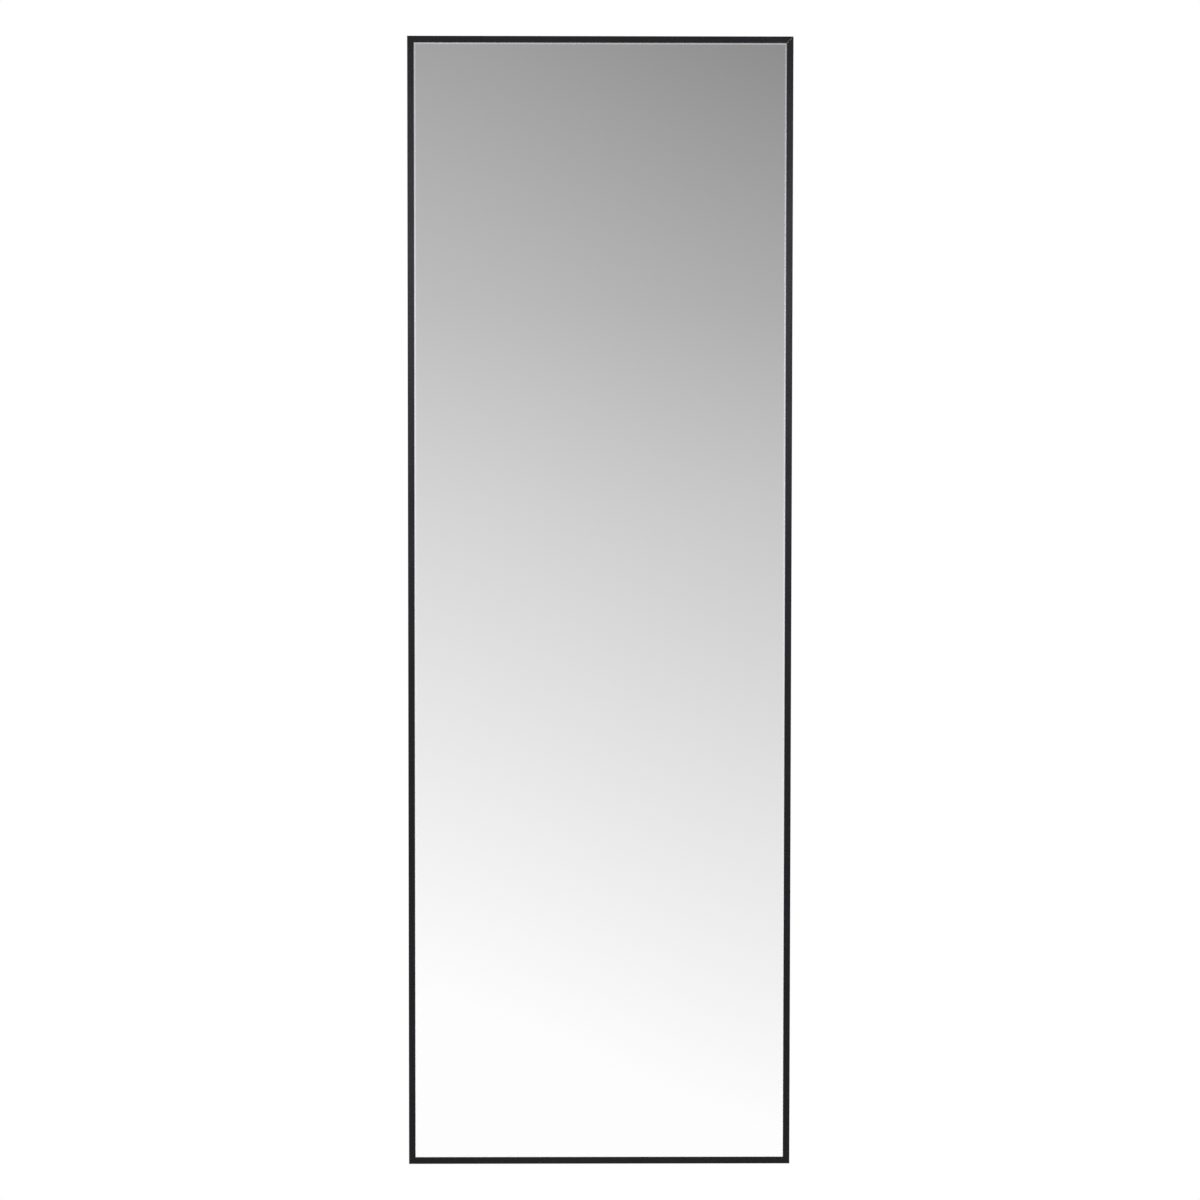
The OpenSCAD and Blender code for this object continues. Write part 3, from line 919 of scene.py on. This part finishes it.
def model_spring(size, sizes):
    """A bowed strip with rounded corners, along Z, with the middle of its box at the origin."""
    strip = sizes.spring_strip
    half_l = size.z / 2
    rise = size.y - strip
    inner_r = (half_l ** 2 + rise ** 2) / (2 * rise)
    outer_r = inner_r + strip
    turn = math.asin(half_l / outer_r)
    centre_y = size.y / 2 - outer_r
    middle_r = inner_r + strip / 2
    start = (0.0, centre_y + middle_r * math.cos(turn), -middle_r * math.sin(turn))
    bpy.ops.mesh.primitive_plane_add(size=1, location=start, rotation=(-turn, 0.0, 0.0))
    spring = new_piece("spring_model", (size.x, strip, 1.0))
    edit_whole()
    sweep(SPRING_STEPS, 2 * turn, (0.0, centre_y, 0.0), ALONG_X)
    end_edit()
    face_outwards(spring)
    tip_z = half_l - MM

    def is_tip_corner(a, b):
        return min(abs(a.z), abs(b.z)) > tip_z and abs(a.x - b.x) < MERGE

    bevel_edges(spring, is_tip_corner, offset=sizes.spring_corner, segments=6)
    round_edges(spring, sizes.spring_edge, over=40)
    return spring


class WALLMIRROR_OT_springs(Operator):
    """Make the bowed springs that press the board and the glass against the front lips"""

    bl_idname = "wall_mirror.springs"
    bl_label = "Retaining Springs"

    def execute(self, context):
        sizes = context.scene.wall_mirror_sizes
        quarter_turn = Matrix.Rotation(math.pi / 2, 4, "Y")
        first_low, first_high = solids_of("left_springs")[0]
        spring = model_spring(first_high - first_low, sizes)
        for edge, along in {"left": "Z", "right": "Z", "top": "X", "bottom": "X"}.items():
            node = edge + "_springs"
            places = []
            for low, high in solids_of(node):
                place = Matrix.Translation((low + high) / 2)
                places.append(place @ quarter_turn if along == "X" else place)
            piece = copies(spring, edge + "_spring_set", places)
            settle(piece, "spring_steel", node, finish(spring_steel, along))
        bpy.data.objects.remove(spring)
        return {"FINISHED"}


class WALLMIRROR_OT_corner_plates(Operator):
    """Make the corner keys and the shims under them"""

    bl_idname = "wall_mirror.corner_plates"
    bl_label = "Corner Keys and Shims"

    def execute(self, context):
        sizes = context.scene.wall_mirror_sizes
        for corner in CORNERS:
            finished_copy(corner + "_key", corner + "_key_casting", sizes.casting_round,
                          "zinc_steel", zinc_plate)
            finished_copy(corner + "_shim", corner + "_shim_plate", sizes.sheet_edge,
                          "zinc_steel", zinc_plate)
        return {"FINISHED"}


def threaded_rod(name, length, radius, sizes):
    """A rod with a screw thread, along Z from the origin, its ends run out to the core."""
    rings_a_turn = 6
    crest_share = 1.25
    pitch = sizes.thread_pitch
    bpy.ops.mesh.primitive_cylinder_add(vertices=24, radius=radius, depth=length,
                                        location=(0.0, 0.0, length / 2))
    rod = new_piece(name)
    pick_edges(rod, lambda a, b: abs(a.z - b.z) > length / 2)
    bpy.ops.mesh.subdivide(number_cuts=int(length / pitch * rings_a_turn))
    end_edit()
    for vertex in rod.data.vertices:
        point = vertex.co
        run_out = min(1.0, point.z / (pitch / 2), (length - point.z) / (pitch / 2))
        phase = (point.z / pitch - math.atan2(point.y, point.x) / (2 * math.pi)) % 1.0
        crest = min(1.0, crest_share * (1 - abs(2 * phase - 1)))
        depth = sizes.thread_depth * (1 - crest * run_out)
        point.x *= 1 - depth / radius
        point.y *= 1 - depth / radius
    return rod


class WALLMIRROR_OT_set_screws(Operator):
    """Make the slotted set screws that lock the corners"""

    bl_idname = "wall_mirror.set_screws"
    bl_label = "Corner Set Screws"

    def execute(self, context):
        sizes = context.scene.wall_mirror_sizes
        low, high = solids_of("top_left_set_screws")[0]
        size = high - low
        screw = threaded_rod("set_screw_model", size.y, size.x / 2, sizes)
        slot_reach = Vector((size.x, sizes.slot_width / 2, sizes.slot_depth))
        screw_top = Vector((0.0, 0.0, size.y))
        cut_away(screw, block("slot_cutter", screw_top - slot_reach, screw_top + slot_reach))
        screw.data.transform(Matrix.Translation((0.0, -size.y / 2, 0.0)) @ TO_WALL)
        shade_smooth(screw)
        # How far round each screw was left when it was tight
        turns = (0.35, 1.2, -0.6, 0.9)
        for number, corner in enumerate(CORNERS):
            node = corner + "_set_screws"
            places = []
            for index, (low, high) in enumerate(solids_of(node)):
                turn = Matrix.Rotation(turns[(index + number) % len(turns)], 4, "Y")
                places.append(Matrix.Translation((low + high) / 2) @ turn)
            piece = copies(screw, corner + "_screw_set", places)
            settle(piece, "zinc_steel", node, finish(zinc_plate))
        bpy.data.objects.remove(screw)
        return {"FINISHED"}


class WALLMIRROR_OT_slide_nuts(Operator):
    """Make the slide nuts in the rear slots"""

    bl_idname = "wall_mirror.slide_nuts"
    bl_label = "Slide Nuts"

    def execute(self, context):
        sizes = context.scene.wall_mirror_sizes
        for side in SIDES:
            finished_copy(side + "_slide_nut", side + "_nut_block", sizes.casting_round,
                          "zinc_steel", zinc_plate)
        return {"FINISHED"}


def model_strap(low, high, pivot, sizes):
    """A strip folded round the ring's wire, its two leaves flat together and rounded at the end."""
    strip = sizes.strap_strip
    width = high.x - low.x
    middle_x = (low.x + high.x) / 2
    loop_r = pivot.y - low.y - strip / 2
    leaf_y = low.y + strip + sizes.leaf_gap + strip / 2
    back_r = pivot.y - leaf_y
    bpy.ops.mesh.primitive_plane_add(size=1, location=(middle_x, low.y + strip / 2, low.z))
    strap = new_piece("strap_model", (width, strip, 1.0))
    edit_whole()
    extrude(z=pivot.z - low.z)
    sweep(LOOP_STEPS, -1.5 * math.pi, pivot, ALONG_X)
    back_z = pivot.z - loop_r - back_r
    sweep(BEND_STEPS, 0.5 * math.pi, (middle_x, pivot.y, back_z), ALONG_X)
    extrude(z=low.z - back_z)
    end_edit()
    face_outwards(strap)

    def is_leaf_corner(a, b):
        return max(a.z, b.z) < low.z + MERGE and abs(a.x - b.x) < MERGE

    flat_end = 0.05 * MM
    bevel_edges(strap, is_leaf_corner, offset=width / 2 - flat_end, segments=12)
    return strap


def model_hanger_screw(low, high, sizes):
    """A pan-head screw with a cross recess, its shank in the nut."""
    domed_share, dome_fullness = 0.62, 0.62
    arm_length, arm_width, arm_depth = 4.4 * MM, 0.9 * MM, 1.3 * MM
    arm_taper = (0.4, 0.4, 1.0)
    middle = (low + high) / 2
    length = high.y - low.y
    head_h = sizes.head_height
    screw = threaded_rod("hanger_screw_model", length - head_h, sizes.shank_width / 2, sizes)
    bpy.ops.mesh.primitive_cylinder_add(vertices=64, radius=(high.x - low.x) / 2, depth=head_h,
                                        location=(0.0, 0.0, length - head_h / 2))
    head = new_piece("head_model")
    top = length - MERGE
    bevel_edges(head, lambda a, b: min(a.z, b.z) > top,
                offset=head_h * domed_share, segments=8, profile=dome_fullness)
    head_top = (0.0, 0.0, length)
    for turn in (0.0, math.pi / 2):
        bpy.ops.mesh.primitive_cube_add(size=1, location=head_top, rotation=(0.0, 0.0, turn))
        arm = new_piece("recess_arm", (arm_length, arm_width, 2 * arm_depth))
        pick_faces(arm, lambda face: face.normal.z < -FACING)
        bpy.ops.transform.resize(value=arm_taper, center_override=head_top)
        end_edit()
        cut_away(head, arm)
    only(screw)
    head.select_set(True)
    bpy.ops.object.join()
    screw.data.transform(Matrix.Translation((middle.x, low.y, middle.z)) @ TO_WALL)
    shade_smooth(screw)
    return screw


def joint_place(name):
    """The point that a joint turns about."""
    return next(Vector(joint["pos_m"]) for joint in frame["joints"] if joint["name"] == name)


class WALLMIRROR_OT_hangers(Operator):
    """Make the folded straps and the screws that hold them on the slide nuts"""

    bl_idname = "wall_mirror.hangers"
    bl_label = "Straps and Screws"

    def execute(self, context):
        sizes = context.scene.wall_mirror_sizes
        cutter_length = 20 * MM
        for side in SIDES:
            pivot = joint_place(side + "_ring_swing")
            low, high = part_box(side + "_hanger_strap")
            strap = model_strap(low, high, pivot, sizes)
            screw_low, screw_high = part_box(side + "_hanger_screw")
            bpy.ops.mesh.primitive_cylinder_add(
                vertices=48, radius=sizes.strap_hole / 2, depth=cutter_length,
                location=(screw_low + screw_high) / 2, rotation=(math.pi / 2, 0.0, 0.0))
            cut_away(strap, new_piece("hole_cutter"))
            round_edges(strap, sizes.strap_edge, over=40)
            strap.name = side + "_folded_strap"
            settle(strap, "nickel_steel", side + "_hanger_strap", finish(nickel_plate))
            screw = model_hanger_screw(screw_low, screw_high, sizes)
            screw.name = side + "_pan_head_screw"
            settle(screw, "zinc_steel", side + "_hanger_screw", finish(zinc_plate))
        return {"FINISHED"}


def model_ring(low, high, pivot, sizes):
    """A D-shaped wire ring: a straight bar, two bends, two legs and a round bow."""
    wire_r = sizes.ring_wire / 2
    bend_r = sizes.ring_bend
    half_w = (high.x - low.x) / 2 - wire_r
    bar_half = half_w - bend_r
    bow_z = low.z + wire_r + half_w
    butt_gap = 0.05 * MM
    bpy.ops.mesh.primitive_circle_add(vertices=24, radius=wire_r, fill_type="NGON",
                                      location=pivot + Vector((butt_gap, 0.0, 0.0)),
                                      rotation=(0.0, math.pi / 2, 0.0))
    ring = new_piece("ring_model")
    edit_whole()
    extrude(x=bar_half - butt_gap)
    bend_z = pivot.z - bend_r
    sweep(BEND_STEPS, math.pi / 2, (pivot.x + bar_half, pivot.y, bend_z), ALONG_Y)
    extrude(z=bow_z - bend_z)
    sweep(LOOP_STEPS, math.pi, (pivot.x, pivot.y, bow_z), ALONG_Y)
    extrude(z=bend_z - bow_z)
    sweep(BEND_STEPS, math.pi / 2, (pivot.x - bar_half, pivot.y, bend_z), ALONG_Y)
    extrude(x=bar_half - butt_gap)
    end_edit()
    face_outwards(ring)
    shade_smooth(ring)
    return ring


class WALLMIRROR_OT_hanging_rings(Operator):
    """Make the two hanging rings"""

    bl_idname = "wall_mirror.hanging_rings"
    bl_label = "Hanging Rings"

    def execute(self, context):
        sizes = context.scene.wall_mirror_sizes
        for side in SIDES:
            low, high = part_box(side + "_hanging_ring")
            ring = model_ring(low, high, joint_place(side + "_ring_swing"), sizes)
            ring.name = side + "_wire_ring"
            settle(ring, "nickel_steel", side + "_hanging_ring", finish(nickel_plate),
                   body=side + "_ring")
        return {"FINISHED"}


def model_bumper(size, sizes):
    """A moulded foot with a sloping flank, a shoulder and a dish, from the origin along Z."""
    foot_r, neck_r, face_r = size.x / 2, 7.2 * MM, 6.4 * MM
    foot_h, shoulder_h = 1.5 * MM, 0.8 * MM
    # From the rim of the face inwards: how far in and how far up, in millimetres
    dish_steps = ((1.5, 0.0), (0.6, -0.7), (2.0, 0.0), (0.5, 0.4))
    bpy.ops.mesh.primitive_circle_add(vertices=64, radius=foot_r, fill_type="NGON")
    bumper = new_piece("bumper_model")
    edit_whole()
    extrude(z=foot_h)
    extrude(z=size.y - shoulder_h - foot_h)
    bpy.ops.transform.resize(value=(neck_r / foot_r, neck_r / foot_r, 1.0))
    extrude(z=shoulder_h)
    bpy.ops.transform.resize(value=(face_r / neck_r, face_r / neck_r, 1.0))
    for inwards, up in dish_steps:
        bpy.ops.mesh.inset(thickness=inwards * MM, depth=up * MM)
    end_edit()
    face_outwards(bumper)
    round_edges(bumper, sizes.bumper_edge, over=15)
    return bumper


class WALLMIRROR_OT_bumpers(Operator):
    """Make the four rubber bumpers that meet the wall"""

    bl_idname = "wall_mirror.bumpers"
    bl_label = "Wall Bumpers"

    def execute(self, context):
        low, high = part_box("top_left_bumper")
        bumper = model_bumper(high - low, context.scene.wall_mirror_sizes)
        for corner in CORNERS:
            node = corner + "_bumper"
            low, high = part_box(node)
            place = Matrix.Translation(((low.x + high.x) / 2, low.y, (low.z + high.z) / 2))
            piece = copies(bumper, corner + "_rubber_foot", [place @ TO_WALL])
            settle(piece, "black_rubber", node, finish(black_rubber))
        bpy.data.objects.remove(bumper)
        return {"FINISHED"}


# Panel and registration

OPERATORS = (
    WALLMIRROR_OT_stage, WALLMIRROR_OT_frame_lengths, WALLMIRROR_OT_mirror_pane,
    WALLMIRROR_OT_backing, WALLMIRROR_OT_springs, WALLMIRROR_OT_corner_plates,
    WALLMIRROR_OT_set_screws, WALLMIRROR_OT_slide_nuts, WALLMIRROR_OT_hangers,
    WALLMIRROR_OT_hanging_rings, WALLMIRROR_OT_bumpers,
)
SETTINGS = {
    "wall_mirror_sizes": WallMirrorSizes,
    "wall_mirror_colours": WallMirrorColours,
    "wall_mirror_studio": WallMirrorStudio,
}


class WALLMIRROR_PT_sidebar(Panel):
    """Lists the steps that make the mirror, with their settings"""

    bl_label = "Wall Mirror"
    bl_idname = "WALLMIRROR_PT_sidebar"
    bl_space_type = "VIEW_3D"
    bl_region_type = "UI"
    bl_category = "Wall Mirror"

    def draw(self, context):
        for operator in OPERATORS:
            self.layout.operator(operator.bl_idname)
        for name, group in SETTINGS.items():
            box = self.layout.box()
            for setting in group.__annotations__:
                box.prop(getattr(context.scene, name), setting)


CLASSES = (*SETTINGS.values(), *OPERATORS, WALLMIRROR_PT_sidebar)


def register():
    """Registers the classes and hangs the settings on the scene."""
    for cls in CLASSES:
        bpy.utils.register_class(cls)
    for name, group in SETTINGS.items():
        setattr(bpy.types.Scene, name, PointerProperty(type=group))


def unregister():
    """Takes the settings and the classes away again."""
    for name in SETTINGS:
        delattr(bpy.types.Scene, name)
    for cls in reversed(CLASSES):
        bpy.utils.unregister_class(cls)


def main():
    """Makes the stage and every piece."""
    register()
    bpy.ops.wall_mirror.stage()
    bpy.ops.wall_mirror.frame_lengths()
    bpy.ops.wall_mirror.mirror_pane()
    bpy.ops.wall_mirror.backing()
    bpy.ops.wall_mirror.springs()
    bpy.ops.wall_mirror.corner_plates()
    bpy.ops.wall_mirror.set_screws()
    bpy.ops.wall_mirror.slide_nuts()
    bpy.ops.wall_mirror.hangers()
    bpy.ops.wall_mirror.hanging_rings()
    bpy.ops.wall_mirror.bumpers()


if __name__ == "__main__":
    main()
